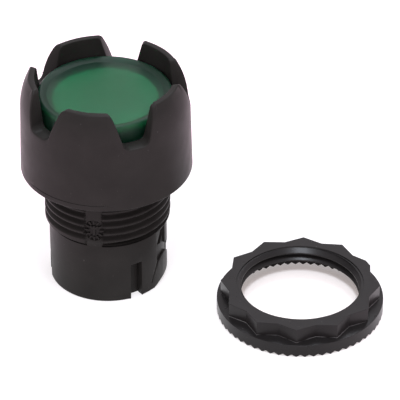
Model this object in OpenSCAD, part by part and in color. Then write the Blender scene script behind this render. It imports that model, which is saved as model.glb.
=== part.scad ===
// Guarded panel pushbutton operator with its ring nut, in millimetres.
// The origin is on the button's axis at the rear end of the barrel; +Z points out of the panel.
// Angles round the axis are counted from the front (-Y) towards +X.

/* [Rear barrel] */
// Outside diameter of the plain barrel behind the thread
barrel_d = 20.6; // [20:0.1:21.4]
// Length of the plain barrel
barrel_len = 11.6; // [11.5:0.1:15]
// Chamfer at the rear edge of the barrel
barrel_edge = 0.15; // [0.05:0.05:0.4]
// Diameter of the socket that takes the contact carrier
socket_d = 15.8; // [15.4:0.1:16.2]
// Depth of the socket
socket_len = 5.5; // [4.5:0.1:5.8]
// Height of the guide web's underside above the rear end
web_z = 8.5; // [8.3:0.1:9.2]
// Thickness of the guide web
web_t = 3; // [2:0.1:4]
// Step between the socket and the narrower room behind the web
socket_step = 0.3; // [0.2:0.05:0.4]

/* [Keyway] */
// Width of the keyway
key_w = 2.2; // [1.6:0.1:3]
// Length of the keyway from the rear end
key_len = 7.2; // [5:0.1:9]
// Depth of the keyway in the barrel wall
key_depth = 1.5; // [0.8:0.1:1.7]
// Angle of the keyway round the axis
key_turn = 29.4; // [20:0.1:40]

/* [Bayonet] */
// Angle of the middle of the bayonet lug
track_turn = 70; // [66:0.5:80]
// Depth of the track that runs round the lug
track_depth = 0.4; // [0.2:0.05:0.7]
// Distance of the track's near side from the middle of the lug
track_near = 2.4; // [2.3:0.1:2.6]
// Reach of the upper part of the track past the middle of the lug
track_side = 0.9; // [0.8:0.1:1.5]
// Height of the upper edge of the track
track_top = 11.2; // [11:0.1:11.3]
// Height at which the near side turns down along the lug
track_low = 6.6; // [6.2:0.1:7]
// Distance of the track's near end from the middle of the lug
track_end = 4.5; // [4.4:0.1:4.8]
// Height of the track's near end
track_end_z = 1.2; // [0.8:0.1:1.4]
// Height of the track over the lug
track_over = 7.3; // [7:0.1:7.5]
// Distance of the corner of the track's far side from the middle of the lug
track_corner = 3.7; // [3.5:0.1:4]
// Height of the corner of the track's far side
track_corner_z = 6.3; // [6:0.1:6.6]
// Reach of the track past the middle of the lug
track_far = 5.4; // [5.2:0.1:6]
// Height at which the track's far side turns straight down
track_far_z = 3.6; // [3:0.1:4]
// Height of the lug's crest
lug_top = 5.65; // [5.4:0.05:5.8]
// Distance of the crest from the middle of the lug
lug_crest = 0.2; // [0:0.1:0.6]
// Distance of the lug's near foot from its middle
lug_near = 3.95; // [3.7:0.05:4.1]
// Distance of the lug's knee from its middle
lug_knee = 2.8; // [2.6:0.1:2.9]
// Height of the lug's knee
lug_knee_z = 3.75; // [3.5:0.05:4]
// Distance of the lug's near shoulder from its middle
lug_shoulder = 1.9; // [1.7:0.1:2]
// Height of the lug's near shoulder
lug_shoulder_z = 5.05; // [4.8:0.05:5.2]
// Distance of the lug's far shoulder from its middle
lug_slope = 2.6; // [2.2:0.1:2.8]
// Height of the lug's far shoulder
lug_slope_z = 4.6; // [4.4:0.1:4.8]
// Distance of the lug's far foot from its middle
lug_far = 4.7; // [4.5:0.1:4.9]
// Height of the lug's far foot
lug_far_z = 1.9; // [1.5:0.1:2.2]
// Height of the lug's lower edge
lug_low = 0.95; // [0.8:0.05:1.1]
// Distance at which the lower edge turns down towards the near side
lug_low_turn = 0.9; // [0.5:0.1:1.5]
// Distance of the near end of the lower edge from the middle of the lug
lug_low_near = 3.25; // [3:0.05:3.4]
// Depth of the locking pocket
pocket_depth = 1.2; // [0.9:0.1:1.5]
// Distance of the pocket's near side from the middle of the track
pocket_near = 2.2; // [1.8:0.1:2.2]
// Reach of the pocket past the middle of the track
pocket_far = 0.55; // [0.4:0.05:0.7]
// Height of the pocket's lower edge
pocket_low = 7.7; // [7.2:0.1:8.2]
// Height of the pocket's upper edge
pocket_top = 10.7; // [10:0.1:10.9]
// Bevel of the pocket's upper corner
pocket_bevel = 1; // [0.5:0.1:1.5]

/* [Threaded bushing] */
// Major diameter of the thread
thread_d = 22; // [21.8:0.1:23]
// Length of the bushing from the undercut to the flange
bushing_len = 9.85; // [8:0.05:14]
// Width of the undercut between the barrel and the thread
undercut_w = 0.8; // [0.5:0.05:1.2]
// Depth of the undercut below the barrel
undercut_step = 0.3; // [0.1:0.05:0.5]
// Chamfer at the start of the thread
thread_lead = 0.2; // [0.1:0.05:0.7]
// Length of the plain neck between the thread and the flange
neck_len = 1.25; // [0.8:0.05:2]
// Relief of the neck below the thread's major radius
neck_step = 0.3; // [0.2:0.05:0.5]

/* [Guard] */
// Width of the flange beyond the thread
flange_w = 3.94; // [3.7:0.02:5.5]
// Height of the guard from the flange's underside to the crown
guard_h = 18.2; // [17:0.1:22]
// Taper of the guard's straight side, measured on the radius
guard_draft = 0.28; // [0:0.02:0.5]
// Height of the curved part of the crown
crown_h = 6; // [4:0.1:8]
// How far the crown's outside curves in
crown_inset = 1.55; // [0.8:0.05:1.7]
// Edge radius along the top of the crown
crown_edge = 0.4; // [0.2:0.05:0.5]
// Edge radius along the inside of the crown
crown_lip = 0.2; // [0.1:0.05:0.3]
// Bore of the guard
cup_d = 24; // [23.6:0.1:24.6]
// Thickness of the floor under the cup
cup_floor = 2.05; // [1.8:0.05:3]

/* [Guard notches] */
// Number of notches in the crown
notch_count = 5; // [3:1:6]
// Angle of the first notch
notch_turn = 22.8; // [0:0.1:72]
// Depth of the notches below the top of the crown
notch_depth = 6.35; // [4:0.05:8]
// Width between the sides of a notch at its floor
notch_floor_w = 4.2; // [3:0.1:6]
// Width between the sides of a notch at the top of the crown
notch_top_w = 7.6; // [6.5:0.1:9]
// Radius of the corners at a notch's floor
notch_floor_r = 0.9; // [0.3:0.1:1.3]
// Radius of the corners at the top of a notch
notch_top_r = 0.9; // [0.3:0.1:1.5]

/* [Panel gasket] */
// Width of the gasket
gasket_w = 2; // [1.6:0.1:2.2]
// Thickness of the gasket
gasket_t = 1.3; // [1:0.1:1.5]
// How far the gasket stands below the flange
gasket_proud = 0.3; // [0.2:0.05:0.5]
// Distance of the gasket from the thread
gasket_step = 0.9; // [0.6:0.1:1]

/* [Button] */
// Travel of the button
travel = 5; // [3:0.1:5.5]
// Gap left under the collar at the end of the travel
end_gap = 0.3; // [0.2:0.05:1]
// Gap between the lens and the guard's bore
lens_gap = 0.4; // [0.3:0.05:0.8]
// Height of the lens from the collar to its rim
lens_h = 5.75; // [5.2:0.05:7]
// Wall of the lens skirt
lens_wall = 1.5; // [1:0.1:1.8]
// Thickness of the lens face
lens_face_t = 1.25; // [0.8:0.05:1.4]
// Width of the raised rim
rim_w = 1.75; // [1.2:0.05:2.5]
// Height of the rim above the lens face
rim_h = 0.43; // [0.2:0.01:0.8]
// Radius of the rim's outer edge
rim_r = 0.5; // [0.2:0.05:0.6]

/* [Diffuser] */
// Diameter of the diffuser
diffuser_d = 18.5; // [17:0.1:18.7]
// Thickness of the diffuser face
diffuser_face_t = 1.2; // [0.8:0.1:1.4]
// Wall of the diffuser skirt
diffuser_wall = 0.9; // [0.6:0.1:1.2]
// Gap between the diffuser and the lens face
diffuser_gap = 0.12; // [0.05:0.01:0.3]

/* [Plunger] */
// Diameter of the stem
stem_d = 12; // [11.4:0.1:12.4]
// Wall of the stem
stem_wall = 1.4; // [1.2:0.1:2]
// Length of the stem behind the guide web
stem_tail = 2.2; // [1.8:0.1:2.6]
// Radial running clearance of the stem in the web
stem_fit = 0.05; // [0.02:0.01:0.1]
// Thickness of the collar
collar_t = 1.8; // [1.6:0.1:2.4]
// Step of the collar inside the lens skirt
collar_step = 0.3; // [0.2:0.05:0.6]
// Height of the boss that the lens sits on
boss_h = 3.9; // [3.2:0.1:3.9]
// Depth of the diffuser's seat in the boss
seat_depth = 2.8; // [2:0.1:2.9]
// Clearance of pieces that sit in one another
seat_fit = 0.05; // [0.02:0.01:0.1]

/* [Wiper seal] */
// Thickness of the seal
seal_t = 0.7; // [0.5:0.1:0.8]
// Depth of its groove in the collar
seal_depth = 1; // [0.7:0.1:1.4]
// Height of the lip's bevel
seal_bevel = 0.28; // [0.2:0.02:0.4]
// Running clearance of the seal in the guard's bore
seal_fit = 0.08; // [0.05:0.01:0.1]

/* [Retaining ring] */
// Thickness of the ring
ring_t = 1; // [0.8:0.1:1.2]
// Depth of its groove in the stem
ring_depth = 0.6; // [0.4:0.1:0.7]
// How far the ring stands out of the stem
ring_proud = 1.2; // [0.8:0.1:1.2]
// Gap in the ring
ring_split = 3; // [1:0.1:5]
// Gap between the ring and the web at rest
ring_gap = 0.1; // [0.05:0.05:0.15]

/* [Return spring] */
// Wire diameter
wire_d = 0.9; // [0.7:0.05:1]
// Turns of the open coil
spring_turns = 6; // [4:1:8]
// Clearance between the spring and the stem
spring_clear = 0.95; // [0.8:0.05:1]
// Clearance between the spring and its pocket
pocket_clear = 0.75; // [0.5:0.05:0.8]
// Clearance at each end of the spring
spring_end = 0.08; // [0.05:0.01:0.2]

/* [Mounting nut] */
// Width of the nut's flange beyond the thread
nut_flange_w = 3.5; // [3.1:0.05:6]
// Thickness of the flange with its serrations
nut_flange_t = 2.65; // [2:0.05:4]
// Fall of the flange's top from the star to its edge
nut_flange_fall = 0.27; // [0.05:0.01:0.5]
// Height of the star above the flange
star_h = 2.54; // [2:0.02:5]
// Number of points of the star
star_points = 12; // [8:1:16]
// Reach of the star's points beyond the thread
star_tip_w = 2.85; // [2.4:0.05:3.1]
// Reach of the star's valleys beyond the thread
star_valley_w = 1.55; // [1:0.05:2]
// Angle of the first point
star_turn = -4.1; // [-15:0.1:15]
// Height of the nut's thread inside the bushing's major diameter
nut_thread_h = 0.75; // [0.3:0.05:0.8]
// Height of the lower end of the nut's thread
nut_thread_z = 2.4; // [2.2:0.05:3]
// Step of the plain lead-in over the thread
nut_lead = 0.1; // [0.05:0.05:0.3]
// Length of the plain lead-in at the top
nut_lead_len = 0.75; // [0.4:0.05:1]
// Height of the thread's upper flank
nut_flank_h = 0.45; // [0.3:0.05:0.6]
// Width of the serrated rim that stands on the panel
nut_rim_w = 1.7; // [1.2:0.05:2]
// Height of the inside wall of the rim
nut_rim_h = 1; // [0.6:0.05:1.4]
// Number of serrations
tooth_count = 60; // [40:2:80]
// Height of the serrations
tooth_h = 0.45; // [0.3:0.05:0.6]
// Share of the pitch that a serration's groove takes at the rim's inside
groove_share = 0.94; // [0.6:0.02:0.96]
// Place of the nut beside the button, to the right
nut_x = 33.5; // [31:0.1:50]
// Place of the nut beside the button, from back to front
nut_y = -12.2; // [-30:0.1:0]

/* [Hidden] */
$fn = 96;

housing_black = "#35302f";
rubber_black = "#202020";
lens_green = "#2f6b4e";
milky_white = "#dfe6dc";
plunger_black = "#2b2a29";
spring_steel = "#b8b8b4";
nut_grey = "#3c3b3b";

// Small overlap that carries a cutter past the face it opens
past = 1;

// Heights of the housing
bushing_z = barrel_len + undercut_w;
flange_z = bushing_z + bushing_len;
cup_z = flange_z + cup_floor;
crown_z = flange_z + guard_h;
curve_z = crown_z - crown_h;
web_top_z = web_z + web_t;

// Radii of the housing
barrel_r = barrel_d / 2;
socket_r = socket_d / 2;
tail_room_r = socket_r - socket_step;
thread_r = thread_d / 2;
guard_r = thread_r + flange_w;
side_r = guard_r - guard_draft;
cup_r = cup_d / 2;
curve_r = (crown_inset * crown_inset + crown_h * crown_h) / (2 * crown_inset);
curve_x = side_r - curve_r;

// Button stack, from the collar up
collar_z = cup_z + travel + end_gap;
collar_top_z = collar_z + collar_t;
boss_top_z = collar_top_z + boss_h;
lens_r = cup_r - lens_gap;
lens_inner_r = lens_r - lens_wall;
lens_top_z = collar_top_z + lens_h;
lens_face_z = lens_top_z - rim_h;
lens_under_z = lens_face_z - lens_face_t;
collar_r = lens_r - collar_step;
boss_r = lens_inner_r - seat_fit;
diffuser_r = diffuser_d / 2;
diffuser_z = boss_top_z - seat_depth;
diffuser_top_z = lens_under_z - diffuser_gap;

// Stem, ring and spring
stem_r = stem_d / 2;
stem_bore_r = stem_r - stem_wall;
stem_z = web_z - stem_tail;
ring_top_z = web_z - ring_gap;
ring_z = ring_top_z - ring_t;
ring_floor_r = stem_r - ring_depth;
spring_r = stem_r + spring_clear + wire_d / 2;
pocket_r = spring_r + wire_d / 2 + pocket_clear;
seal_z = collar_z + (collar_t - seal_t) / 2;
seal_floor_r = collar_r - seal_depth;
cone_r = diffuser_r - diffuser_wall;

// Gasket
gasket_in_r = thread_r + gasket_step;
gasket_out_r = gasket_in_r + gasket_w;
gasket_z = flange_z - gasket_proud;

// Nut
nut_r = thread_r + nut_flange_w;
nut_h = nut_flange_t + star_h;
nut_bore_r = thread_r - nut_thread_h;
nut_lead_r = thread_r + nut_lead;
nut_lead_z = nut_h - nut_lead_len;
nut_thread_top_z = nut_lead_z - nut_flank_h;
nut_valley_r = thread_r + star_valley_w;
nut_rim_r = nut_r - nut_rim_w;

// Points of an arc from angle a0 to angle a1
function arc(x, y, r, a0, a1, steps = 8) =
    [for (i = [0:steps]) let (a = a0 + (a1 - a0) * i / steps) [x + r * cos(a), y + r * sin(a)]];

// Stands a flat outline up and drives it inwards from outside the barrel or guard at one angle
module radial_cut(turn, from_r, to_r)
    rotate([0, 0, turn])
        translate([0, -from_r, 0])
            rotate([90, 0, 0])
                linear_extrude(to_r - from_r)
                    children();

// One notch of the crown: sloping sides, round floor corners and eased top corners
module notch_outline() {
    floor_z = crown_z - notch_depth;
    slope = atan2((notch_top_w - notch_floor_w) / 2, notch_depth);
    // tangent lengths of the floor corner and of the top corner
    floor_run = notch_floor_r * tan((90 - slope) / 2);
    top_run = notch_top_r * tan((90 - slope) / 2);
    floor_x = notch_floor_w / 2 - floor_run;
    top_x = notch_top_w / 2 + top_run;
    half = concat(
        arc(floor_x, floor_z + notch_floor_r, notch_floor_r, -90, -slope),
        arc(top_x, crown_z - notch_top_r, notch_top_r, 180 - slope, 90),
        [[top_x, crown_z + past]]);
    mirrored = [for (i = [len(half) - 1:-1:0]) [-half[i][0], half[i][1]]];
    polygon(concat(half, mirrored));
}

// Cross-section of the moulding, outside wall first and then the inside from the top down
module housing_section() {
    // the crown's edge is tangent to its curve and to its flat top
    edge_x = curve_x + sqrt(pow(curve_r - crown_edge, 2) - pow(crown_h - crown_edge, 2));
    edge_turn = atan2(crown_h - crown_edge, edge_x - curve_x);
    polygon(concat(
        [[socket_r, 0],
         [barrel_r - barrel_edge, 0],
         [barrel_r, barrel_edge],
         [barrel_r, barrel_len],
         [barrel_r - undercut_step, barrel_len],
         [barrel_r - undercut_step, bushing_z],
         [thread_r - thread_lead, bushing_z],
         [thread_r, bushing_z + thread_lead],
         [thread_r, flange_z - neck_len],
         [thread_r - neck_step, flange_z - neck_len],
         [thread_r - neck_step, flange_z],
         [gasket_in_r - seat_fit, flange_z],
         [gasket_in_r - seat_fit, gasket_z + gasket_t],
         [gasket_out_r + seat_fit, gasket_z + gasket_t],
         [gasket_out_r + seat_fit, flange_z],
         [guard_r, flange_z]],
        arc(curve_x, curve_z, curve_r, 0, edge_turn),
        arc(edge_x, crown_z - crown_edge, crown_edge, edge_turn, 90, 4),
        arc(cup_r + crown_lip, crown_z - crown_lip, crown_lip, 90, 180, 4),
        [[cup_r, cup_z],
         [pocket_r, cup_z],
         [pocket_r, web_top_z],
         [stem_r + stem_fit, web_top_z],
         [stem_r + stem_fit, web_z],
         [tail_room_r, web_z],
         [tail_room_r, socket_len],
         [socket_r, socket_len]]));
}

// Sunk track of the bayonet: it comes down from the pocket on both sides of the lug and passes under it
module track_outline()
    polygon([[-lug_near, track_end_z],
             [-lug_knee, lug_knee_z],
             [-lug_shoulder, lug_shoulder_z],
             [lug_crest, lug_top],
             [lug_slope, lug_slope_z],
             [lug_far, lug_far_z],
             [lug_far, lug_low],
             [lug_low_turn, lug_low],
             [-lug_low_near, 0],
             [-lug_low_near, -past],
             [track_far, -past],
             [track_far, track_far_z],
             [track_corner, track_corner_z],
             [track_side, track_over],
             [track_side, track_top],
             [-track_near, track_top],
             [-track_near, track_low],
             [-track_end, track_end_z]]);

// Locking pocket at the upper end of the track
module pocket_outline()
    polygon([[-pocket_near, pocket_low],
             [pocket_far, pocket_low],
             [pocket_far, pocket_top],
             [pocket_bevel - pocket_near, pocket_top],
             [-pocket_near, pocket_top - pocket_bevel]]);

// A recess of even depth in the barrel wall, with the outline of its child
module barrel_recess(turn, depth)
    intersection() {
        radial_cut(turn, 0, barrel_r + past)
            children();
        difference() {
            cylinder(h = barrel_len, r = barrel_r + 2 * past);
            translate([0, 0, -past])
                cylinder(h = barrel_len + 2 * past, r = barrel_r - depth);
        }
    }

module housing()
    color(housing_black)
        difference() {
            rotate_extrude()
                housing_section();
            for (i = [0:notch_count - 1])
                radial_cut(notch_turn + i * 360 / notch_count, cup_r - 2 * past, guard_r + past)
                    notch_outline();
            radial_cut(key_turn, barrel_r - key_depth, barrel_r + past)
                translate([-key_w / 2, -past])
                    square([key_w, key_len + past]);
            for (side = [0, 180]) {
                barrel_recess(track_turn + side, track_depth)
                    track_outline();
                barrel_recess(track_turn + side, pocket_depth)
                    pocket_outline();
            }
        }

module panel_gasket()
    color(rubber_black)
        translate([0, 0, gasket_z])
            difference() {
                cylinder(h = gasket_t, r = gasket_out_r);
                translate([0, 0, -past])
                    cylinder(h = gasket_t + 2 * past, r = gasket_in_r);
            }

module lens()
    color(lens_green)
        rotate_extrude()
            polygon(concat(
                [[0, lens_under_z],
                 [lens_inner_r, lens_under_z],
                 [lens_inner_r, collar_top_z],
                 [lens_r, collar_top_z]],
                arc(lens_r - rim_r, lens_top_z - rim_r, rim_r, 0, 90),
                [[lens_r - rim_w, lens_face_z],
                 [0, lens_face_z]]));

module diffuser()
    color(milky_white)
        rotate_extrude()
            polygon([[0, diffuser_top_z - diffuser_face_t],
                     [cone_r, diffuser_top_z - diffuser_face_t],
                     [cone_r, diffuser_z],
                     [diffuser_r, diffuser_z],
                     [diffuser_r, diffuser_top_z],
                     [0, diffuser_top_z]]);

module plunger()
    color(plunger_black)
        rotate_extrude()
            polygon([[stem_bore_r, stem_z],
                     [stem_r, stem_z],
                     [stem_r, ring_z - seat_fit],
                     [ring_floor_r, ring_z - seat_fit],
                     [ring_floor_r, ring_top_z + seat_fit],
                     [stem_r, ring_top_z + seat_fit],
                     [stem_r, collar_z],
                     [collar_r, collar_z],
                     [collar_r, seal_z - seat_fit],
                     [seal_floor_r, seal_z - seat_fit],
                     [seal_floor_r, seal_z + seal_t + seat_fit],
                     [collar_r, seal_z + seal_t + seat_fit],
                     [collar_r, collar_top_z],
                     [boss_r, collar_top_z],
                     [boss_r, boss_top_z],
                     [diffuser_r + seat_fit, boss_top_z],
                     [diffuser_r + seat_fit, diffuser_z],
                     [cone_r, diffuser_z],
                     [stem_bore_r, collar_z]]);

module wiper_seal()
    color(rubber_black)
        rotate_extrude()
            polygon([[seal_floor_r + seat_fit, seal_z],
                     [collar_r, seal_z],
                     [cup_r - seal_fit, seal_z + seal_bevel],
                     [cup_r - seal_fit, seal_z + seal_t],
                     [seal_floor_r + seat_fit, seal_z + seal_t]]);

module retaining_ring()
    color(spring_steel)
        difference() {
            translate([0, 0, ring_z])
                cylinder(h = ring_t, r = stem_r + ring_proud);
            translate([0, 0, ring_z - past])
                cylinder(h = ring_t + 2 * past, r = ring_floor_r + seat_fit);
            translate([-ring_split / 2, 0, ring_z - past])
                cube([ring_split, stem_r + ring_proud + past, ring_t + 2 * past]);
        }

// Coil spring swept along its wire: one closed turn at each end, open turns between them
module return_spring() {
    sides = 8;
    steps_per_turn = 24;
    turns = spring_turns + 2;
    steps = turns * steps_per_turn;
    low = web_top_z + spring_end + wire_d / 2;
    high = collar_z - spring_end - wire_d / 2;
    open_pitch = (high - low - 2 * wire_d) / spring_turns;
    function coil_z(turn) =
        turn < 1 ? low + turn * wire_d :
        turn > turns - 1 ? high - (turns - turn) * wire_d :
        low + wire_d + (turn - 1) * open_pitch;
    rings = [for (i = [0:steps], k = [0:sides - 1])
        let (a = 360 * i / steps_per_turn,
             b = 360 * k / sides,
             r = spring_r + wire_d / 2 * cos(b))
        [r * cos(a), r * sin(a), coil_z(i / steps_per_turn) + wire_d / 2 * sin(b)]];
    walls = [for (i = [0:steps - 1], k = [0:sides - 1])
        let (n = (k + 1) % sides)
        [i * sides + k, i * sides + n, (i + 1) * sides + n, (i + 1) * sides + k]];
    near_end = [for (k = [sides - 1:-1:0]) k];
    far_end = [for (k = [0:sides - 1]) steps * sides + k];
    color(spring_steel)
        polyhedron(points = rings, faces = concat(walls, [near_end, far_end]));
}

// Ring nut lying on its serrated rim, hollow underneath so that only the rim bears on the panel
module mounting_nut() {
    star = [for (i = [0:2 * star_points - 1])
        let (a = star_turn - 90 + i * 180 / star_points,
             r = i % 2 == 0 ? thread_r + star_tip_w : nut_valley_r)
        [r * cos(a), r * sin(a)]];
    groove_half = groove_share * PI * nut_rim_r / tooth_count;
    color(nut_grey)
        translate([nut_x, nut_y, 0])
            difference() {
                union() {
                    rotate_extrude()
                        polygon([[0, 0],
                                 [nut_r, 0],
                                 [nut_r, nut_flange_t - nut_flange_fall],
                                 [nut_valley_r, nut_flange_t],
                                 [0, nut_flange_t]]);
                    linear_extrude(nut_h)
                        polygon(star);
                }
                rotate_extrude()
                    polygon([[0, -past],
                             [nut_rim_r, -past],
                             [nut_rim_r, nut_rim_h],
                             [nut_bore_r, nut_thread_z],
                             [nut_bore_r, nut_thread_top_z],
                             [nut_lead_r, nut_lead_z],
                             [nut_lead_r, nut_h + past],
                             [0, nut_h + past]]);
                for (i = [0:tooth_count - 1])
                    radial_cut(i * 360 / tooth_count, nut_rim_r - past, nut_r + past)
                        polygon([[-groove_half, 0], [groove_half, 0], [0, tooth_h]]);
            }
}

housing();
panel_gasket();
lens();
diffuser();
plunger();
wiper_seal();
retaining_ring();
return_spring();
mounting_nut();
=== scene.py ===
import math

import bmesh
import bpy
from mathutils import Matrix, Vector


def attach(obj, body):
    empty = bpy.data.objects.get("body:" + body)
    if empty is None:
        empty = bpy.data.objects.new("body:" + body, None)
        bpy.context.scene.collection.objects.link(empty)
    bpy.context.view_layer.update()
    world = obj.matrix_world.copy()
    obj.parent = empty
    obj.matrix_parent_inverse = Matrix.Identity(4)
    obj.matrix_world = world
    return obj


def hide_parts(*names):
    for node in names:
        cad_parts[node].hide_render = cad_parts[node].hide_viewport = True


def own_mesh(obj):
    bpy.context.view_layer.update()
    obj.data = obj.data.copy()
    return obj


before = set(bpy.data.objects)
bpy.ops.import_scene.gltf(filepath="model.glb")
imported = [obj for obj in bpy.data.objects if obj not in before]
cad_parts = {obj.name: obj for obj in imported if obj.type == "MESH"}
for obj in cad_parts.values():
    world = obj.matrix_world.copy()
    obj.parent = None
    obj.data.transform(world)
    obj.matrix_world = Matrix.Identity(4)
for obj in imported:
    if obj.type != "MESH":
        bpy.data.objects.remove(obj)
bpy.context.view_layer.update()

# Housing: the body that carries everything, one moulding of black glass-filled nylon.
# A guard with five notches stands round the button; under its flange come the threaded bushing
# that passes the panel and the plain barrel that takes the contact carrier.
MM = 0.001
WELD = 0.002                  # vertices closer than this become one
SLIVER = 0.0005               # shorter edges are dissolved
NEAR = 0.01                   # slack for picking vertices by their place
COLUMNS = 300                 # faces round a full turn
NOTCH_COUNT = 5
NOTCH_TURN = math.radians(22.8)
CROWN_Z = 40.45
CURVE_Z = 34.45               # where the side starts to curve in
FLANGE_Z = 22.25
FLANGE_R = 14.94
SIDE_R = 14.66
CURVE_R = 12.388
CUP_R = 12.0
NOTCH_DEPTH = 6.35
NOTCH_FLOOR_W = 4.2
NOTCH_TOP_W = 7.6
NOTCH_CORNER_R = 0.9
NOTCH_FLOOR_R = 1.3
CROWN_LOW_Z = 32.0            # the crown is drawn from here up
CROWN_ROWS = (32.6, 33.2, 35.0, 36.0, 37.0, 38.0, 38.8, 39.4)
CROWN_MEAN_R = 13.3           # radius that the crown is unrolled at
CROWN_HALF = CROWN_MEAN_R * math.pi / NOTCH_COUNT
STRAIGHT_HALF = 4.6           # round a notch the columns are parallel, up to this half width
RADIAL_Z = 33.4               # under this height they turn radial
RADIAL_FADE = 1.2
OUTER_EDGE = 0.28
INNER_EDGE = 0.16
EDGE_STEPS = 4


def arc(x, z, radius, start, end, steps=6):
    """Points of an arc, with its angles in degrees."""
    turns = [math.radians(start + (end - start) * i / steps) for i in range(steps + 1)]
    return [(x + radius * math.cos(a), z + radius * math.sin(a)) for a in turns]


def guard_radius(z):
    """Outside radius of the guard at one height."""
    if z <= CURVE_Z:
        return SIDE_R + (FLANGE_R - SIDE_R) * (CURVE_Z - z) / (CURVE_Z - FLANGE_Z)
    return SIDE_R - CURVE_R + math.sqrt(CURVE_R ** 2 - (z - CURVE_Z) ** 2)


def everything(bm):
    return bm.verts[:] + bm.edges[:] + bm.faces[:]


def cut(bm, place, direction):
    """Cuts the whole mesh along a plane and keeps both sides."""
    bmesh.ops.bisect_plane(bm, geom=everything(bm), dist=1e-5, plane_co=place, plane_no=direction)


def ease(share):
    """Smooth step from 0 to 1."""
    share = min(1.0, max(0.0, share))
    return share * share * (3 - 2 * share)


def add(bm, part):
    """Adds one drawn part to another."""
    mesh = bpy.data.meshes.new("part")
    part.to_mesh(mesh)
    part.free()
    bm.from_mesh(mesh)
    bpy.data.meshes.remove(mesh)


def turned(profile, steps=COLUMNS):
    """Spins an outline of (radius, height) points round the button's axis."""
    bm = bmesh.new()
    verts = [bm.verts.new((0, -r, z)) for r, z in profile]
    edges = [bm.edges.new(pair) for pair in zip(verts, verts[1:])]
    bmesh.ops.spin(bm, geom=verts + edges, cent=(0, 0, 0), axis=(0, 0, 1),
                   angle=2 * math.pi, steps=steps, use_merge=True)
    return bm


def piece(name, bm, body, material, crisp=38):
    """Makes a part drawn in millimetres a finished object that moves with one body.

    Edges that turn by more than crisp degrees are shaded sharp.
    """
    bmesh.ops.remove_doubles(bm, verts=bm.verts[:], dist=WELD)
    bmesh.ops.dissolve_degenerate(bm, edges=bm.edges[:], dist=SLIVER)
    bmesh.ops.recalc_face_normals(bm, faces=bm.faces[:])
    bmesh.ops.scale(bm, vec=(MM, MM, MM), verts=bm.verts[:])
    mesh = bpy.data.meshes.new(name)
    bm.to_mesh(mesh)
    bm.free()
    mesh.shade_smooth()
    mesh.set_sharp_from_angle(angle=math.radians(crisp))
    mesh.materials.append(material)
    obj = bpy.data.objects.new(name, mesh)
    bpy.context.scene.collection.objects.link(obj)
    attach(obj, body)
    return obj


# the crown: its unrolled outline is drawn flat, given a wall, rounded along its edges and bent round
def crown():
    slope = math.degrees(math.atan2((NOTCH_TOP_W - NOTCH_FLOOR_W) / 2, NOTCH_DEPTH))
    lean = math.tan(math.radians((90 - slope) / 2))
    floor_z = CROWN_Z - NOTCH_DEPTH
    half = arc(NOTCH_FLOOR_W / 2 - NOTCH_FLOOR_R * lean, floor_z + NOTCH_FLOOR_R, NOTCH_FLOOR_R,
               -90, -slope)
    half += arc(NOTCH_TOP_W / 2 + NOTCH_CORNER_R * lean, CROWN_Z - NOTCH_CORNER_R, NOTCH_CORNER_R,
                180 - slope, 90)
    half += [(CROWN_HALF, CROWN_Z), (CROWN_HALF, CROWN_LOW_Z)]
    outline = half + [(-x, z) for x, z in reversed(half)]
    bm = bmesh.new()
    bm.faces.new([bm.verts.new((x, 0, z)) for x, z in outline])
    for z in CROWN_ROWS:
        cut(bm, (0, 0, z), (0, 0, 1))
    made = bmesh.ops.extrude_face_region(bm, geom=bm.faces[:], use_keep_orig=True)
    outside = {v for v in made["geom"] if isinstance(v, bmesh.types.BMVert)}
    ends = [f for f in bm.faces if all(v.co.z < CROWN_LOW_Z + NEAR for v in f.verts)
            or all(v.co.x > CROWN_HALF - NEAR for v in f.verts)
            or all(v.co.x < NEAR - CROWN_HALF for v in f.verts)]
    bmesh.ops.delete(bm, geom=ends, context="FACES")
    for v in bm.verts:
        v.co.y = -guard_radius(v.co.z) if v in outside else -CUP_R
    rim = [f for f in bm.faces if 0 < sum(v in outside for v in f.verts) < len(f.verts)]
    edges = {e for f in rim for e in f.edges if any(g not in rim for g in e.link_faces)}
    outer = [e for e in edges if all(v in outside for v in e.verts)]
    inner = [e for e in edges if not any(v in outside for v in e.verts)]
    for chain, offset in ((outer, OUTER_EDGE), (inner, INNER_EDGE)):
        bmesh.ops.bevel(bm, geom=chain, offset=offset, offset_type="OFFSET", segments=EDGE_STEPS,
                        profile=0.5, affect="EDGES", material=-1, clamp_overlap=False,
                        loop_slide=False)
    columns = COLUMNS // NOTCH_COUNT
    for i in range(1, columns):
        cut(bm, (CROWN_HALF * (2 * i / columns - 1), 0, 0), (1, 0, 0))
    # the notch sides stay parallel, and the wall's columns turn radial towards the middle of a merlon
    for v in bm.verts:
        x, radius, z = v.co.x, -v.co.y, v.co.z
        radial = math.pi / NOTCH_COUNT * x / CROWN_HALF
        share = max(ease((abs(x) - STRAIGHT_HALF) / (CROWN_HALF - STRAIGHT_HALF)),
                    ease((RADIAL_Z - z) / RADIAL_FADE))
        turn = NOTCH_TURN + radial * share + math.asin(x / radius) * (1 - share)
        v.co = (radius * math.sin(turn), -radius * math.cos(turn), z)
    bmesh.ops.spin(bm, geom=everything(bm), cent=(0, 0, 0), axis=(0, 0, 1),
                   angle=2 * math.pi * (NOTCH_COUNT - 1) / NOTCH_COUNT,
                   steps=NOTCH_COUNT - 1, use_duplicate=True)
    return bm


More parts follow.
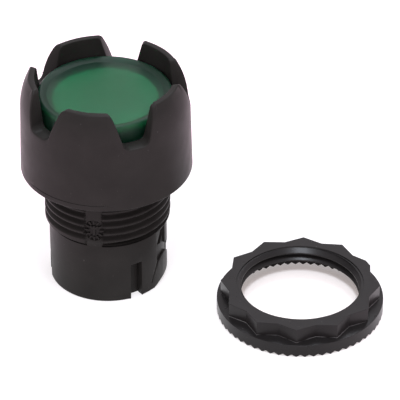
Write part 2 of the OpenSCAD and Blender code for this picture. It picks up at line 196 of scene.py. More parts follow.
# flange and bushing: turned with the thread's rows, then the thread is sunk into them
THREAD_R = 11.0
THREAD_DEPTH = 0.8
PITCH = 1.5
CREST_W = 0.26
ROOT_W = 0.16
GROOVE_Z = 13.97              # a groove's middle, at the front
THREAD_LOW_Z = 12.5
THREAD_TOP_Z = 19.9
THREAD_FADE = 0.5             # the groove runs out over this height
THREAD_LEAD = 0.1
THREAD_END_Z = THREAD_TOP_Z + 1.1
NECK_R = 10.7                 # relief between thread and flange
NECK_Z = THREAD_TOP_Z + 1.3
SUNK_TOP_Z = THREAD_TOP_Z + 1.2    # band, thread and dial are sunk below this height
ROW = 0.085
RUN_OUT = (-22.0, 22.0)       # over these degrees the lowest groove fades
BAND = (-19.6, -4.1)          # plain band across the thread, in degrees from the front
BAND_SLACK = 0.1
BAND_R = 10.58
BAND_FADE = 1.5               # the band rises from the barrel over this height
DIAL_TURN = math.radians(-11.6)
DIAL_Z = 15.2
DIAL_SIZE = (1.4, 1.75)       # half width and half height of the mould dial on the band
DIAL_DEPTH = 0.28
DIAL_MARGIN = 0.3
BARREL_R = 10.3
BARREL_TOP_Z = 11.6
BARREL_EDGE = 0.06
UNDERCUT_R = 10.0
UNDERCUT_TOP_Z = 12.4
UNDERCUT_LOW_Z = BARREL_TOP_Z + 0.05
UNDERCUT_LEFT = 0.7           # share of its depth on the left of the band
GASKET_OUT_R = 13.95          # groove for the gasket
GASKET_IN_R = 11.85
GASKET_TOP_Z = 23.25
FLANGE_EDGE = 0.22
SEAM_Z = 23.3
SEAM_DEPTH = 0.1
SEAM_HALF = 0.09
SEAM_FLOOR_HALF = 0.03
SEAM_ROW = 0.4                # plain rows of faces start this far from it
SEAM = (-62.0, 8.0)           # the seam shows over these degrees
SEAM_FADE = 12


def bushing():
    rows = round((THREAD_TOP_Z - THREAD_LOW_Z) / ROW)
    side = guard_radius(SEAM_Z)
    seam_floor = side - SEAM_DEPTH
    profile = [(guard_radius(z), z) for z in (CROWN_LOW_Z, SEAM_Z + SEAM_ROW)]
    profile += [(side, SEAM_Z + SEAM_HALF), (seam_floor, SEAM_Z + SEAM_FLOOR_HALF),
                (seam_floor, SEAM_Z - SEAM_FLOOR_HALF), (side, SEAM_Z - SEAM_HALF),
                (guard_radius(SEAM_Z - SEAM_ROW), SEAM_Z - SEAM_ROW)]
    profile += arc(FLANGE_R - FLANGE_EDGE, FLANGE_Z + FLANGE_EDGE, FLANGE_EDGE, 0, -90, 4)
    profile += [(GASKET_OUT_R, FLANGE_Z), (GASKET_OUT_R, GASKET_TOP_Z), (GASKET_IN_R, GASKET_TOP_Z),
                (GASKET_IN_R, FLANGE_Z), (NECK_R, FLANGE_Z), (NECK_R, NECK_Z), (THREAD_R, THREAD_END_Z)]
    profile += [(THREAD_R, THREAD_TOP_Z - (THREAD_TOP_Z - THREAD_LOW_Z) * i / rows)
                for i in range(rows + 1)]
    profile += [(THREAD_R - THREAD_LEAD, UNDERCUT_TOP_Z), (UNDERCUT_R, UNDERCUT_TOP_Z),
                (UNDERCUT_R, UNDERCUT_LOW_Z), (BARREL_R - BARREL_EDGE, BARREL_TOP_Z + BARREL_EDGE / 2),
                (BARREL_R, BARREL_TOP_Z)]
    bm = turned(profile)
    for v in bm.verts:
        z, radius = v.co.z, math.hypot(v.co.x, v.co.y)
        turn = math.degrees(math.atan2(v.co.x, -v.co.y))
        goal = radius
        if abs(z - SEAM_Z) < SEAM_FLOOR_HALF + NEAR and abs(radius - seam_floor) < WELD / 2:
            shown = ease((turn - SEAM[0]) / SEAM_FADE) * ease((SEAM[1] - turn) / SEAM_FADE)
            goal = side - SEAM_DEPTH * shown
        elif BARREL_TOP_Z + NEAR < z < SUNK_TOP_Z:
            if BAND[0] - BAND_SLACK < turn < BAND[1] + BAND_SLACK:
                goal = BARREL_R + (BAND_R - BARREL_R) * ease((z - BARREL_TOP_Z) / BAND_FADE)
            elif z < UNDERCUT_TOP_Z + NEAR and radius < UNDERCUT_R + NEAR:
                goal = BARREL_R - (BARREL_R - UNDERCUT_R) * (UNDERCUT_LEFT if turn < BAND[0] else 1)
            elif THREAD_LOW_Z - NEAR < z < THREAD_TOP_Z + NEAR:
                rise = (z - GROOVE_Z) / PITCH - turn / 360
                off = abs(rise - round(rise)) * PITCH
                flank = (PITCH - CREST_W - ROOT_W) / 2
                share = min(1.0, max(0.0, ((PITCH - CREST_W) / 2 - off) / flank))
                depth = THREAD_DEPTH * (share + ease(share)) / 2 * ease((THREAD_TOP_Z - z) / THREAD_FADE)
                if round(rise) < 0:
                    depth *= ease((turn - RUN_OUT[0]) / (RUN_OUT[1] - RUN_OUT[0]))
                goal = radius - depth
            across = BAND_R * (math.radians(turn) - DIAL_TURN) / (DIAL_SIZE[0] + DIAL_MARGIN)
            if math.hypot(across, (z - DIAL_Z) / (DIAL_SIZE[1] + DIAL_MARGIN)) < 1:
                goal = min(goal, BAND_R - DIAL_DEPTH)
        v.co.x *= goal / radius
        v.co.y *= goal / radius
    return bm


# inside: cup, spring room, guide web and the socket for the contact carrier
CUP_FLOOR_Z = 24.3
SPRING_ROOM_R = 8.6
WEB_TOP_Z = 11.5
WEB_Z = 8.5
WEB_BORE_R = 6.05
TAIL_ROOM_R = 7.6
SOCKET_R = 7.9
SOCKET_LEN = 5.5


def inside():
    return turned([(CUP_R, CROWN_LOW_Z), (CUP_R, CUP_FLOOR_Z), (SPRING_ROOM_R, CUP_FLOOR_Z),
                   (SPRING_ROOM_R, WEB_TOP_Z), (WEB_BORE_R, WEB_TOP_Z), (WEB_BORE_R, WEB_Z),
                   (TAIL_ROOM_R, WEB_Z), (TAIL_ROOM_R, SOCKET_LEN), (SOCKET_R, SOCKET_LEN),
                   (SOCKET_R, 0)])


# barrel: an unrolled sheet with the keyway and the two bayonet tracks, sunk, rounded and bent round
KEY_TURN = math.radians(29.4)
KEY_W = 2.2
KEY_LEN = 7.2
KEY_DEPTH = 1.5
TRACK_TURNS = (math.radians(-110), math.radians(70))
TRACK_DEPTH = 0.42
TRACK = [(-3.27, 0), (-1.96, 0.47), (-0.54, 0.77), (1.25, 0.96), (4.6, 0.95), (4.7, 1.9), (3.7, 3.3),
         (2.6, 4.6), (1.4, 5.4), (0.16, 5.65), (-0.9, 5.5), (-1.86, 5.07), (-2.75, 3.77), (-3.28, 2.74),
         (-3.75, 1.46), (-3.92, 1.45), (-3.46, 2.83), (-2.93, 3.87), (-2.25, 5.4), (-2.4, 6.6),
         (-2.4, 11.2), (0.9, 11.2), (0.9, 7.3), (2.4, 7.0), (3.7, 6.3), (4.6, 4.9), (5.4, 3.6), (5.4, 0)]
POCKET_DEPTH = 0.95
POCKET = [(-1.75, 8.3), (-0.5, 7.9), (0.6, 9.2), (0.6, 10.6), (0.1, 10.8)]
CUT_EDGE = 0.08
CUT_EDGE_STEPS = 3
FOOT_EDGE = 0.15              # bevel at the rear end
FOOT_SKIN = 0.12              # the bevel moves only what lies this close to the outside


def barrel():
    bm = bmesh.new()
    reach = math.pi * BARREL_R

    def unrolled(turn, outline):
        return [((turn + math.asin(s / BARREL_R)) * BARREL_R, z) for s, z in outline]

    def loop(points, depth=0.0):
        verts = [bm.verts.new((x, depth - BARREL_R, z)) for x, z in points]
        return [bm.edges.new(pair) for pair in zip(verts, verts[1:] + verts[:1])]

    def sink(edges, depth):
        made = bmesh.ops.extrude_edge_only(bm, edges=edges)["geom"]
        moved = [g for g in made if isinstance(g, bmesh.types.BMVert)]
        bmesh.ops.translate(bm, vec=(0, depth, 0), verts=moved)
        return [g for g in made if isinstance(g, bmesh.types.BMEdge)
                and all(v in moved for v in g.verts)]

    def closed(edges):
        ends = [v for e in edges for v in e.verts if sum(v in other.verts for other in edges) == 1]
        return edges + [bm.edges.new(ends)]

    key_x = KEY_TURN * BARREL_R
    left, right = key_x - KEY_W / 2, key_x + KEY_W / 2
    key = [(left, 0), (left, KEY_LEN), (right, KEY_LEN), (right, 0)]
    outline = [(-reach, 0)]
    openings = []
    for cutout in (unrolled(TRACK_TURNS[0], TRACK), key, unrolled(TRACK_TURNS[1], TRACK)):
        openings.append((len(outline), len(outline) + len(cutout) - 1))
        outline += cutout
    rim = loop(outline + [(reach, 0), (reach, BARREL_TOP_Z), (-reach, BARREL_TOP_Z)])
    far_track, key_edges, near_track = (rim[first:last] for first, last in openings)
    bmesh.ops.triangle_fill(bm, use_beauty=True, edges=rim)
    edged = far_track + key_edges + near_track
    bmesh.ops.contextual_create(bm, geom=closed(sink(key_edges, KEY_DEPTH)))
    for turn, track in zip(TRACK_TURNS, (far_track, near_track)):
        floor = closed(sink(track, TRACK_DEPTH))
        pocket = loop(unrolled(turn, POCKET), TRACK_DEPTH)
        bmesh.ops.triangle_fill(bm, use_beauty=True, edges=floor + pocket)
        edged += pocket
        bmesh.ops.contextual_create(bm, geom=sink(pocket, POCKET_DEPTH))
    bmesh.ops.remove_doubles(bm, verts=bm.verts[:], dist=1e-5)
    edged = [e for e in edged if e.is_valid]
    bmesh.ops.bevel(bm, geom=edged, offset=CUT_EDGE, offset_type="OFFSET", segments=CUT_EDGE_STEPS,
                    profile=0.5, affect="EDGES", material=-1, clamp_overlap=False,
                    loop_slide=False)
    cut(bm, (0, 0, FOOT_EDGE), (0, 0, 1))
    for i in range(1, COLUMNS):
        cut(bm, (reach * (2 * i / COLUMNS - 1), 0, 0), (1, 0, 0))
    for v in bm.verts:
        turn, radius, z = v.co.x / BARREL_R, -v.co.y, v.co.z
        if z < NEAR and radius > BARREL_R - FOOT_SKIN:
            radius -= FOOT_EDGE
        v.co = (radius * math.sin(turn), -radius * math.cos(turn), z)
    return bm


def spread(tree, source, low, high, to_low=0.0, to_high=1.0):
    """Maps a value from one range to another, held at both ends."""
    made = tree.nodes.new("ShaderNodeMapRange")
    for name, value in (("From Min", low), ("From Max", high), ("To Min", to_low), ("To Max", to_high)):
        made.inputs[name].default_value = value
    tree.links.new(source, made.inputs["Value"])
    return made.outputs["Result"]


def product(tree, first, second):
    """Multiplies two values."""
    made = tree.nodes.new("ShaderNodeMath")
    made.operation = "MULTIPLY"
    tree.links.new(first, made.inputs[0])
    tree.links.new(second, made.inputs[1])
    return made.outputs[0]


def moulded_skin():
    """Satin skin of a moulded plastic: uneven tone, fine grain and a little dust."""
    group = bpy.data.node_groups.new("moulded_skin", "ShaderNodeTree")
    for name, kind, direction in (
            ("Colour", "NodeSocketColor", "INPUT"), ("Dust Colour", "NodeSocketColor", "INPUT"),
            ("Dust", "NodeSocketFloat", "INPUT"), ("Roughness", "NodeSocketFloat", "INPUT"),
            ("Grain Scale", "NodeSocketFloat", "INPUT"), ("Unevenness", "NodeSocketFloat", "INPUT"),
            ("Colour", "NodeSocketColor", "OUTPUT"), ("Roughness", "NodeSocketFloat", "OUTPUT"),
            ("Height", "NodeSocketFloat", "OUTPUT")):
        group.interface.new_socket(name, in_out=direction, socket_type=kind)
    nodes, link = group.nodes, group.links.new
    given, out = nodes.new("NodeGroupInput"), nodes.new("NodeGroupOutput")
    place = nodes.new("ShaderNodeTexCoord")

    def noise(scale, detail):
        made = nodes.new("ShaderNodeTexNoise")
        made.inputs["Scale"].default_value = scale
        made.inputs["Detail"].default_value = detail
        link(place.outputs["Object"], made.inputs["Vector"])
        return made

    # slow change of tone over the moulding
    tone = nodes.new("ShaderNodeMix")
    tone.data_type, tone.blend_type = "RGBA", "MULTIPLY"
    link(given.outputs["Unevenness"], tone.inputs["Factor"])
    link(given.outputs["Colour"], tone.inputs["A"])
    link(spread(group, noise(190, 3).outputs["Fac"], 0.3, 0.7, 0.86, 1.12), tone.inputs["B"])
    # single specks of dust
    specks = spread(group, noise(2600, 1).outputs["Fac"], 0.77, 0.8)
    dust = nodes.new("ShaderNodeMix")
    dust.data_type = "RGBA"
    link(product(group, specks, given.outputs["Dust"]), dust.inputs["Factor"])
    link(tone.outputs["Result"], dust.inputs["A"])
    link(given.outputs["Dust Colour"], dust.inputs["B"])
    link(dust.outputs["Result"], out.inputs["Colour"])
    # satin with smoother and duller places
    patches = spread(group, noise(420, 4).outputs["Fac"], 0.3, 0.7, 0.9, 1.1)
    link(product(group, given.outputs["Roughness"], patches), out.inputs["Roughness"])
    # eroded grain of the mould
    grain = noise(1, 2)
    link(given.outputs["Grain Scale"], grain.inputs["Scale"])
    link(grain.outputs["Fac"], out.inputs["Height"])
    return group


MOULDED_SKIN = moulded_skin()
DUST_COLOUR = (0.3, 0.29, 0.28, 1)
GRAIN_HEIGHT = 0.00005


def plastic(name, colour, roughness, grain=5200, bump=0.12, dust=0.25, specular=0.5, uneven=1.0):
    """A moulded plastic with its own colour and gloss."""
    material = bpy.data.materials.new(name)
    material.use_nodes = True
    nodes, link = material.node_tree.nodes, material.node_tree.links.new
    shader = nodes["Principled BSDF"]
    shader.inputs["Specular IOR Level"].default_value = specular
    skin = nodes.new("ShaderNodeGroup")
    skin.node_tree = MOULDED_SKIN
    skin.inputs["Colour"].default_value = (*colour, 1)
    skin.inputs["Dust Colour"].default_value = DUST_COLOUR
    skin.inputs["Dust"].default_value = dust
    skin.inputs["Roughness"].default_value = roughness
    skin.inputs["Grain Scale"].default_value = grain
    skin.inputs["Unevenness"].default_value = uneven
    relief = nodes.new("ShaderNodeBump")
    relief.inputs["Strength"].default_value = bump
    relief.inputs["Distance"].default_value = GRAIN_HEIGHT
    link(skin.outputs["Height"], relief.inputs["Height"])
    link(skin.outputs["Colour"], shader.inputs["Base Color"])
    link(skin.outputs["Roughness"], shader.inputs["Roughness"])
    link(relief.outputs["Normal"], shader.inputs["Normal"])
    return material


housing_mesh = crown()
for drawn in (bushing(), inside(), barrel()):
    add(housing_mesh, drawn)
bmesh.ops.remove_doubles(housing_mesh, verts=housing_mesh.verts[:], dist=WELD)
rear_edges = [e for e in housing_mesh.edges if e.is_boundary and all(v.co.z < NEAR for v in e.verts)]
bmesh.ops.triangle_fill(housing_mesh, use_beauty=True, edges=rear_edges, normal=(0, 0, -1))
housing_black = plastic("housing_black", (0.0203, 0.0190, 0.0178), 0.38, dust=0.12, specular=0.08)
housing = piece("housing_moulding", housing_mesh, "housing_body", housing_black)
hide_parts("housing")

# Mould date dial: a ring of plain raised ticks with a pointer, left by an insert in the mould.
# It stands on the plain band of the thread, in the housing's own plastic.
TICKS = 12
TICK_REACH = 0.95             # place of a tick, as a share of the dial's size
TICK_SIZE = (0.75, 0.26)      # length and width
POINTER = [(90, 0.0, (1.9, 0.42)), (50, 0.42, (0.9, 0.3)), (130, 0.42, (0.9, 0.3))]
MARK_PROUD = 0.05             # the marks stand out of the band by this much
MARK_EDGE = 0.03


def dial_marks():
    bm = bmesh.new()
    ticks = [(360 / TICKS * i, TICK_REACH, TICK_SIZE) for i in range(TICKS)]
    for turn, reach, (length, width) in ticks + POINTER:
        turn = math.radians(turn)
        made = bmesh.ops.create_cube(bm, size=1)["verts"]
        bmesh.ops.scale(bm, vec=(length, 2 * (DIAL_DEPTH + MARK_PROUD), width), verts=made)
        bmesh.ops.rotate(bm, cent=(0, 0, 0), matrix=Matrix.Rotation(-turn, 3, "Y"), verts=made)
        bmesh.ops.translate(bm, vec=(DIAL_SIZE[0] * reach * math.cos(turn), 0,
                                     DIAL_SIZE[1] * reach * math.sin(turn)), verts=made)
    bmesh.ops.bevel(bm, geom=bm.edges[:], offset=MARK_EDGE, offset_type="OFFSET", segments=1,
                    profile=0.5, affect="EDGES", material=-1)
    for v in bm.verts:
        turn, radius = DIAL_TURN + v.co.x / BAND_R, BAND_R - DIAL_DEPTH - v.co.y
        v.co = (radius * math.sin(turn), -radius * math.cos(turn), DIAL_Z + v.co.z)
    return bm


piece("mould_dial", dial_marks(), "housing_body", housing_black)

# Panel gasket: a soft ring of black rubber that seals the panel hole.
# It is pressed into the groove under the flange and stands a little proud of it.
rubber = plastic("seal_rubber", (0.016, 0.016, 0.016), 0.7, grain=2600, bump=0.3, dust=0.4)
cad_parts["panel_gasket"].data.materials[0] = rubber

# Return spring: round steel wire wound on the stem, with a closed turn at each end.
# It stands on the guide web and lifts the collar of the plunger.
WIRE_R = 0.45
COIL_R = 7.4
SPRING_LOW_Z = 11.58
SPRING_HIGH_Z = 29.52
OPEN_TURNS = 6
TURN_STEPS = 32
WIRE_STEPS = 12


def coil():
    bm = bmesh.new()
    ring = bmesh.ops.create_circle(bm, cap_ends=False, radius=WIRE_R, segments=WIRE_STEPS)["verts"]
    bmesh.ops.rotate(bm, cent=(0, 0, 0), matrix=Matrix.Rotation(math.pi / 2, 3, "X"), verts=ring)
    bmesh.ops.translate(bm, vec=(COIL_R, 0, SPRING_LOW_Z + WIRE_R), verts=ring)
    first = bm.edges[:]
    # the two closed turns and the wire itself take three wire diameters
    open_rise = (SPRING_HIGH_Z - SPRING_LOW_Z - 6 * WIRE_R) / OPEN_TURNS
    end = ring + first
    for turns, rise in ((1, 2 * WIRE_R), (OPEN_TURNS, open_rise), (1, 2 * WIRE_R)):
        end = bmesh.ops.spin(bm, geom=end, cent=(0, 0, 0), axis=(0, 0, 1), angle=2 * math.pi * turns,
                             dvec=(0, 0, rise / TURN_STEPS), steps=TURN_STEPS * turns)["geom_last"]
    bmesh.ops.contextual_create(bm, geom=first)
    bmesh.ops.contextual_create(bm, geom=[g for g in end if isinstance(g, bmesh.types.BMEdge)])
    return bm


def metal(name, colour, roughness):
    """Drawn wire: bright steel with fine uneven gloss."""
    material = plastic(name, colour, roughness, grain=9000, bump=0.2, dust=0.05)
    material.node_tree.nodes["Principled BSDF"].inputs["Metallic"].default_value = 1.0
    return material


spring_steel = metal("spring_steel", (0.56, 0.55, 0.53), 0.28)
spring = piece("return_spring_wire", coil(), "housing_body", spring_steel)
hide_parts("return_spring")
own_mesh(spring)

# Plunger, wiper seal and retaining ring: the moving stem of black acetal with a rubber lip ring
# in its collar, held in the housing by a split spring ring under the guide web.
plunger_black = plastic("plunger_black", (0.014, 0.013, 0.013), 0.4, bump=0.05, dust=0.0)
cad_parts["plunger"].data.materials[0] = plunger_black
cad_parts["wiper_seal"].data.materials[0] = rubber
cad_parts["retaining_ring"].data.materials[0] = spring_steel

# Diffuser: a milky plastic cap under the lens that spreads the lamp's light.
# It is pressed into the seat in the plunger's boss.
DIFFUSER_R = 9.25
DIFFUSER_IN_R = 8.35
DIFFUSER_Z = 32.5
DIFFUSER_UNDER_Z = 34.15
DIFFUSER_TOP_Z = 35.5
DIFFUSER_EDGE = 0.5
DIFFUSER_COLUMNS = 120
diffuser_profile = [(0, DIFFUSER_UNDER_Z), (DIFFUSER_IN_R, DIFFUSER_UNDER_Z), (DIFFUSER_IN_R, DIFFUSER_Z),
                    (DIFFUSER_R, DIFFUSER_Z)]
diffuser_profile += arc(DIFFUSER_R - DIFFUSER_EDGE, DIFFUSER_TOP_Z - DIFFUSER_EDGE, DIFFUSER_EDGE, 0, 90)
diffuser_profile += [(0, DIFFUSER_TOP_Z)]
diffuser_white = plastic("diffuser_white", (0.80, 0.84, 0.79), 0.5, bump=0.05, dust=0.0,
                         specular=0.0, uneven=0.15)
diffuser = piece("diffuser_cap", turned(diffuser_profile, DIFFUSER_COLUMNS), "button",
                 diffuser_white)
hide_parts("diffuser")

# Lens: the cap that the finger presses, clear green polycarbonate with a raised rim.
# It snaps over the plunger's boss and slides in the guard's cup.
LENS_R = 11.6
LENS_IN_R = 10.1
LENS_Z = 31.4
LENS_UNDER_Z = 35.47
LENS_FOOT_EDGE = 0.1
LENS_RIM_R = 0.5              # rounding of the raised rim
LENS_RIM_Z = 36.65            # middle of that rounding
LENS_FACE_Z = 36.72
LENS_FACE_R = 9.9
LENS_FILLET_X = 9.95          # fillet between rim and face
LENS_FILLET_R = 0.4
LENS_CROWN = 0.5              # rise of the face in its middle
LENS_COLUMNS = 200
LENS_IOR = 1.33
LENS_CLEAR = 0.97
lens_profile = [(0, LENS_UNDER_Z), (LENS_IN_R, LENS_UNDER_Z), (LENS_IN_R, LENS_Z),
                (LENS_R - LENS_FOOT_EDGE, LENS_Z), (LENS_R, LENS_Z + LENS_FOOT_EDGE)]
lens_profile += arc(LENS_R - LENS_RIM_R, LENS_RIM_Z, LENS_RIM_R, 0, 100)
lens_profile += arc(LENS_FILLET_X, LENS_FACE_Z + LENS_FILLET_R, LENS_FILLET_R, -60, -90, 4)
lens_profile += [(LENS_FACE_R * share, LENS_FACE_Z + LENS_CROWN * (1 - share ** 2))
                 for share in (0.75, 0.5, 0.25, 0)]


def clear_plastic(name, colour, roughness, depth_colour, depth_density):
    """A see-through plastic, tinted at its surface and through its depth."""
    material = plastic(name, colour, roughness, bump=0.01, dust=0.0, uneven=0.1)
    nodes, link = material.node_tree.nodes, material.node_tree.links.new
    shader = nodes["Principled BSDF"]
    shader.inputs["Transmission Weight"].default_value = LENS_CLEAR
    shader.inputs["IOR"].default_value = LENS_IOR
    depth = nodes.new("ShaderNodeVolumeAbsorption")
    depth.inputs["Color"].default_value = (*depth_colour, 1)
    depth.inputs["Density"].default_value = depth_density
    link(depth.outputs["Volume"], nodes["Material Output"].inputs["Volume"])
    return material


lens_green = clear_plastic("lens_green", (0.08, 0.60, 0.32), 0.44, (0.0, 0.53, 0.39), 740)
lens = piece("lens_cap", turned(lens_profile, LENS_COLUMNS), "button", lens_green)
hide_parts("lens")

# Mounting nut: a ring nut of black nylon that lies beside the button, taken off the bushing.
# A twelve-point star takes the spanner, and serrations under its flange grip the panel.
NUT_PLACE = (33.5, -12.2, 0)
NUT_R = 14.5
FLANGE_EDGE_Z = 2.38
FLANGE_RISE = 0.14            # the flange's top rises inwards by this slope
NUT_TOP_Z = 5.19
STAR_POINTS = 12
STAR_TURN = math.radians(-4.1)
TIP_R = 13.85
VALLEY_R = 12.55
TEETH = 60
TOOTH_H = 0.45
RIM_R = 12.8
RIM_INSIDE_Z = 1.0
LEAD_R = 11.1
LEAD_Z = 4.95                 # a plain lead-in opens the thread from here up
NUT_CREST_R = 10.25
NUT_CREST_Z = 4.15            # a crest's middle, at the back
NUT_CREST_HALF = 0.08
NUT_FLANK = 0.64
NUT_THREAD_LOW_Z = 2.4
NUT_ROWS = 84
STAR_EDGE = 0.05
STAR_FILLET = 0.14            # between the star and the flange
BLUNT_TIP = 4                 # one worn tip of the star
BLUNT = (13.41, 0.82)         # its flat's distance from the axis and half width


def nut_ring():
    bm = bmesh.new()

    def ring(outline, z):
        made = [bm.verts.new((r * math.sin(turn + STAR_TURN), -r * math.cos(turn + STAR_TURN), z))
                for turn, r in outline]
        return [bm.edges.new(pair) for pair in zip(made, made[1:] + made[:1])]

    def circle(radius):
        return [(math.pi * i / TEETH, radius) for i in range(2 * TEETH)]

    def drawn_on(edges, height, radius=None):
        made = bmesh.ops.extrude_edge_only(bm, edges=edges)["geom"]
        moved = [g for g in made if isinstance(g, bmesh.types.BMVert)]
        for v in moved:
            turn = math.atan2(v.co.x, -v.co.y) - STAR_TURN
            v.co.z = height(round(turn * TEETH / math.pi))
            if radius:
                stretch = radius / math.hypot(v.co.x, v.co.y)
                v.co.x, v.co.y = v.co.x * stretch, v.co.y * stretch
        return [g for g in made if isinstance(g, bmesh.types.BMEdge) and all(v in moved for v in g.verts)]

    def tooth(i):
        return TOOTH_H * (i % 2)

    points = []
    for i in range(STAR_POINTS):
        turn = 2 * math.pi * i / STAR_POINTS
        if i == BLUNT_TIP:
            half = math.atan2(BLUNT[1], BLUNT[0])
            points += [(turn - half, math.hypot(*BLUNT)), (turn + half, math.hypot(*BLUNT))]
        else:
            points.append((turn, TIP_R))
        points.append((turn + math.pi / STAR_POINTS, VALLEY_R))
    bore = ring(circle(LEAD_R), NUT_TOP_Z)
    star = ring(points, NUT_TOP_Z)
    bmesh.ops.triangle_fill(bm, use_beauty=True, edges=bore + star)
    star_foot = drawn_on(star, lambda i: FLANGE_EDGE_Z)
    for v in {v for e in star_foot for v in e.verts}:
        v.co.z += FLANGE_RISE * (NUT_R - math.hypot(v.co.x, v.co.y))
    walls = [e for e in bm.edges if len(e.link_faces) == 2
             and abs(e.verts[0].co.z - e.verts[1].co.z) > 1]
    rim = ring(circle(NUT_R), FLANGE_EDGE_Z)
    bmesh.ops.triangle_fill(bm, use_beauty=True, edges=star_foot + rim)
    teeth = drawn_on(rim, tooth)
    inner_teeth = drawn_on(teeth, tooth, RIM_R)
    drawn_on(inner_teeth, lambda i: RIM_INSIDE_Z)
    for chain, offset in ((star + walls, STAR_EDGE), (star_foot, STAR_FILLET), (rim, STAR_EDGE)):
        bmesh.ops.bevel(bm, geom=[e for e in chain if e.is_valid], offset=offset, offset_type="OFFSET",
                        segments=2, profile=0.5, affect="EDGES", material=-1, clamp_overlap=True)
    # thread and hollow underside, turned
    thread_h = NUT_TOP_Z - NUT_THREAD_LOW_Z
    profile = [(LEAD_R, NUT_TOP_Z - thread_h * i / NUT_ROWS) for i in range(NUT_ROWS + 1)]
    profile += [(RIM_R, RIM_INSIDE_Z)]
    thread = turned(profile, 2 * TEETH)
    for v in thread.verts:
        z = v.co.z
        if z > NUT_TOP_Z - NEAR or z < NUT_THREAD_LOW_Z - NEAR:
            continue
        turn = math.atan2(v.co.x, -v.co.y)
        climb = (z - NUT_CREST_Z) / PITCH - turn / (2 * math.pi) + 0.5
        off = abs(climb - round(climb)) * PITCH
        sunk = min(1.0, max(0.0, (off - NUT_CREST_HALF) / NUT_FLANK))
        radius = LEAD_R if z > LEAD_Z else NUT_CREST_R + (LEAD_R - NUT_CREST_R) * sunk
        v.co.x *= radius / LEAD_R
        v.co.y *= radius / LEAD_R
    bmesh.ops.rotate(thread, cent=(0, 0, 0), matrix=Matrix.Rotation(STAR_TURN, 3, "Z"),
                     verts=thread.verts[:])
    add(bm, thread)
    bmesh.ops.translate(bm, vec=NUT_PLACE, verts=bm.verts[:])
    return bm


# painted highlight: a pale line along the foot of the star, where light would gleam on the fillet, broken
# here and there
FOOT_HIGHLIGHT_BAND = (0.01, 0.15)           # its lower and upper side over the flange
FOOT_HIGHLIGHT_SOFT = 0.03
FOOT_HIGHLIGHT_FROM_R = (12.2, 12.4)    # it lies outside these radii
FOOT_HIGHLIGHT_COLOUR = (0.2, 0.2, 0.2, 1)
FOOT_HIGHLIGHT_BREAKS = (0.4, 0.56)     # range of the noise that breaks it
BREAK_SCALE = 260


def painted_foot_highlight(material):
    tree = material.node_tree
    nodes, link = tree.nodes, tree.links.new
    shader = nodes["Principled BSDF"]
    skin_colour = shader.inputs["Base Color"].links[0].from_socket

    def vector_math(kind, source, other=None):
        made = nodes.new("ShaderNodeVectorMath")
        made.operation = kind
        link(source, made.inputs[0])
        if other:
            made.inputs[1].default_value = other
        return made.outputs

    place = nodes.new("ShaderNodeTexCoord").outputs["Object"]
    local = vector_math("SUBTRACT", place, Vector(NUT_PLACE) * MM)["Vector"]
    flat = vector_math("MULTIPLY", local, (1, 1, 0))["Vector"]
    reach = vector_math("LENGTH", flat)["Value"]
    height = vector_math("DOT_PRODUCT", local, (0, 0, 1))["Value"]
    # height with the flange's slope taken off, the same all over the flange's top
    level = nodes.new("ShaderNodeMath")
    level.operation = "MULTIPLY_ADD"
    link(reach, level.inputs[0])
    level.inputs[1].default_value = FLANGE_RISE
    link(height, level.inputs[2])
    flange = FLANGE_EDGE_Z + FLANGE_RISE * NUT_R
    low, high = ((flange + side) * MM for side in FOOT_HIGHLIGHT_BAND)
    highlight = product(tree, spread(tree, level.outputs[0], low, low + FOOT_HIGHLIGHT_SOFT * MM),
                   spread(tree, level.outputs[0], high, high - FOOT_HIGHLIGHT_SOFT * MM))
    highlight = product(tree, highlight, spread(tree, reach, FOOT_HIGHLIGHT_FROM_R[0] * MM, FOOT_HIGHLIGHT_FROM_R[1] * MM))
    breaks = nodes.new("ShaderNodeTexNoise")
    breaks.inputs["Scale"].default_value = BREAK_SCALE
    link(place, breaks.inputs["Vector"])
    highlight = product(tree, highlight, spread(tree, breaks.outputs["Fac"], *FOOT_HIGHLIGHT_BREAKS))
    mix = nodes.new("ShaderNodeMix")
    mix.data_type = "RGBA"
    link(highlight, mix.inputs["Factor"])
    link(skin_colour, mix.inputs["A"])
    mix.inputs["B"].default_value = FOOT_HIGHLIGHT_COLOUR
    # the painted highlight is mixed into the nut's base colour
    link(mix.outputs["Result"], shader.inputs["Base Color"])


nut_black = plastic("nut_black", (0.0142, 0.0130, 0.0131), 0.3, dust=0.2, specular=0.19)
# paints a pale highlight line along the foot of the star into the nut's colour
painted_foot_highlight(nut_black)
nut = piece("ring_nut", nut_ring(), "housing_body", nut_black, crisp=20)
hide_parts("mounting_nut")

# Studio: a white table that glows, so that shadows on it stay pale, a soft light in front, another
# behind and bright walls all round. The glow is neutral under the object and rosy further out,
# and it is weak inside the nut, where the nut's own shadow shows.
TABLE_HALF = 3
TABLE_ROUGHNESS = 0.9
TABLE_SPECULAR = 0.1
TABLE_COLOURS = ((0.97, 0.945, 0.915, 1), (0.5, 0.5, 0.5, 1))      # inside the nut and round it
GLOW_CENTRE = (0.016, -0.006, 0)
GLOW_REACH = (0.028, 0.048)
GLOW_COLOURS = ((0.6, 0.585, 0.59, 1), (0.98, 0.68, 0.80, 1))
GLOW_SHARES = ((0.26, 0.215, 0.195, 1), (1, 1, 1, 1))              # inside the nut and round it
NUT_CENTRE = Vector(NUT_PLACE) * MM
NUT_COVERS = (0.0115, 0.0125)
WALL_COLOUR = (1.0, 0.93, 0.96, 1)
WALL_STRENGTH = 0.95
LIGHT_TARGET = (0.015, 0, 0.02)

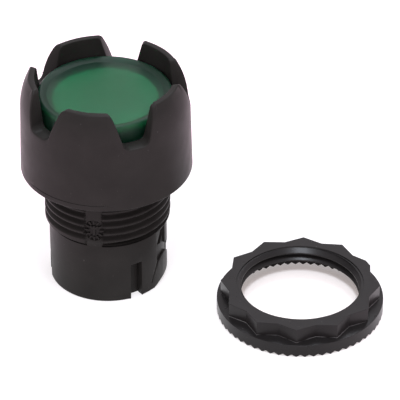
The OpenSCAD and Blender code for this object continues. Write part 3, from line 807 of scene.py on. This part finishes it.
floor_mesh = bmesh.new()
bmesh.ops.create_grid(floor_mesh, x_segments=1, y_segments=1, size=TABLE_HALF)
floor_data = bpy.data.meshes.new("table")
floor_mesh.to_mesh(floor_data)
floor_mesh.free()
floor = bpy.data.objects.new("table", floor_data)
bpy.context.scene.collection.objects.link(floor)
table_white = bpy.data.materials.new("table_white")
table_white.use_nodes = True
table_nodes, table_link = table_white.node_tree.nodes, table_white.node_tree.links.new
table_shader = table_nodes["Principled BSDF"]
table_shader.inputs["Roughness"].default_value = TABLE_ROUGHNESS
table_shader.inputs["Specular IOR Level"].default_value = TABLE_SPECULAR
table_shader.inputs["Emission Strength"].default_value = 1.0
table_place = table_nodes.new("ShaderNodeTexCoord")


def table_colour(centre, distances, colours, change="LINEAR"):
    """A colour of the table that changes with the distance from a point."""
    away = table_nodes.new("ShaderNodeVectorMath")
    away.operation = "DISTANCE"
    away.inputs[1].default_value = centre
    ramp = table_nodes.new("ShaderNodeValToRGB")
    ramp.color_ramp.interpolation = change
    for stop, position, colour in zip(ramp.color_ramp.elements, distances, colours):
        stop.position, stop.color = position, colour
    table_link(table_place.outputs["Object"], away.inputs[0])
    table_link(away.outputs["Value"], ramp.inputs["Fac"])
    return ramp.outputs["Color"]


glow = table_nodes.new("ShaderNodeVectorMath")
glow.operation = "MULTIPLY"
table_link(table_colour(GLOW_CENTRE, GLOW_REACH, GLOW_COLOURS, "EASE"), glow.inputs[0])
table_link(table_colour(NUT_CENTRE, NUT_COVERS, GLOW_SHARES), glow.inputs[1])
table_link(glow.outputs["Vector"], table_shader.inputs["Emission Color"])
table_link(table_colour(NUT_CENTRE, NUT_COVERS, TABLE_COLOURS), table_shader.inputs["Base Color"])
floor_data.materials.append(table_white)

world = bpy.data.worlds.new("studio")
bpy.context.scene.world = world
world.use_nodes = True
walls = world.node_tree.nodes["Background"]
walls.inputs["Color"].default_value = WALL_COLOUR
walls.inputs["Strength"].default_value = WALL_STRENGTH


def softbox(name, place, size, power, colour):
    """A square soft light that faces the object."""
    light = bpy.data.lights.new(name, "AREA")
    light.shape, light.size, light.energy, light.color = "SQUARE", size, power, colour
    obj = bpy.data.objects.new(name, light)
    bpy.context.scene.collection.objects.link(obj)
    obj.location = place
    obj.rotation_euler = (Vector(LIGHT_TARGET) - Vector(place)).to_track_quat("-Z", "Y").to_euler()


softbox("top_light", (0.03, -0.28, 0.87), size=0.2, power=4.0, colour=(0.86, 0.91, 1.0))
softbox("back_light", (0.1, 0.45, 0.78), size=0.3, power=2.2, colour=(0.88, 0.92, 1.0))

# Camera: a long lens, looking down at the button from the front, rolled by a small angle.
# Its place, tilt and focal length were fitted to the object's outlines.
CAMERA_PLACE = Vector((16.1813, -492.5946, 352.8557)) * MM
TILT = math.radians(34.4945)
ROLL = math.radians(0.3018)
FRAME_PIXELS = 400
FOCAL_PIXELS = 3412.79
SENSOR_W = 36
CLIP = (0.01, 20)
ahead = Vector((0, math.cos(TILT), -math.sin(TILT)))
above = Vector((0, math.sin(TILT), math.cos(TILT)))
beside = Vector((1, 0, 0))
across = beside * math.cos(ROLL) - above * math.sin(ROLL)
upright = beside * math.sin(ROLL) + above * math.cos(ROLL)
camera_data = bpy.data.cameras.new("camera")
camera_data.sensor_width = SENSOR_W
camera_data.lens = SENSOR_W * FOCAL_PIXELS / FRAME_PIXELS
camera_data.clip_start, camera_data.clip_end = CLIP
camera = bpy.data.objects.new("camera", camera_data)
bpy.context.scene.collection.objects.link(camera)
facing = Matrix((across, upright, -ahead)).transposed().to_4x4()
camera.matrix_world = Matrix.Translation(CAMERA_PLACE) @ facing
bpy.context.scene.camera = camera
bpy.context.scene.view_settings.view_transform = "Standard"
